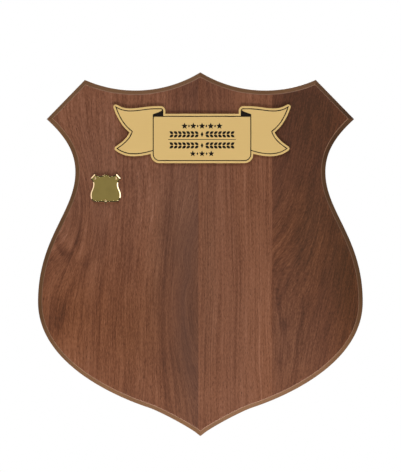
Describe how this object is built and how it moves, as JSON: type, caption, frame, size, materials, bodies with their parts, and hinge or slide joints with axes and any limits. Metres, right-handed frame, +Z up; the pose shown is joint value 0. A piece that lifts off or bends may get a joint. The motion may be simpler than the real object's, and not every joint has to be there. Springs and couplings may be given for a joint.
{
  "type": "presentation plaque",
  "caption": "Shield-shaped walnut-veneered wall plaque with a scroll title plate, a small brass record shield and a folding hanging ring.",
  "frame": {"origin": "on the wall plane, straight behind the point where a wall hook carries the hanging ring, in the middle of the plaque's width", "axes": "+Z up, +Y into the wall, so the face looks towards -Y, and +X to the right as one looks at the face"},
  "size_m": [0.3, 0.0256, 0.336],
  "materials": {
    "stained_mdf": "satin lacquer over stain",
    "walnut_veneer": "satin lacquer",
    "back_veneer": "sanded, thinly sealed",
    "gold_plate": "satin",
    "black_enamel": "semi-gloss",
    "adhesive_tape": "matt",
    "polished_brass": "polished",
    "brass_pins": "polished",
    "plated_steel": "zinc plated",
    "ring_wire": "nickel plated",
    "plated_screws": "zinc plated",
    "bumper_rubber": "matt"
  },
  "bodies": {
    "plaque": {"core_board": "stained_mdf", "face_leaf_left": "walnut_veneer", "face_leaf_centre": "walnut_veneer", "face_leaf_right": "walnut_veneer", "back_veneer": "back_veneer", "header_plate": "gold_plate", "header_line_enamel": "black_enamel", "header_ornament_enamel": "black_enamel", "header_tape_left": "adhesive_tape", "header_tape_centre": "adhesive_tape", "header_tape_right": "adhesive_tape", "record_shield": "polished_brass", "record_pin_left": "brass_pins", "record_pin_right": "brass_pins", "record_pin_bottom": "brass_pins", "hanger_strap": "plated_steel", "hanger_screw_upper": "plated_screws", "hanger_screw_lower": "plated_screws", "bumper_left": "bumper_rubber", "bumper_right": "bumper_rubber"},
    "ring": {"hanger_ring": "ring_wire"}
  },
  "joints": [
    {"name": "ring_swing", "type": "hinge", "parent": "plaque", "child": "ring", "pos_m": [0, -0.00265, -0.01623], "axis": [-1, 0, 0], "range_deg": [0, 177]}
  ]
}
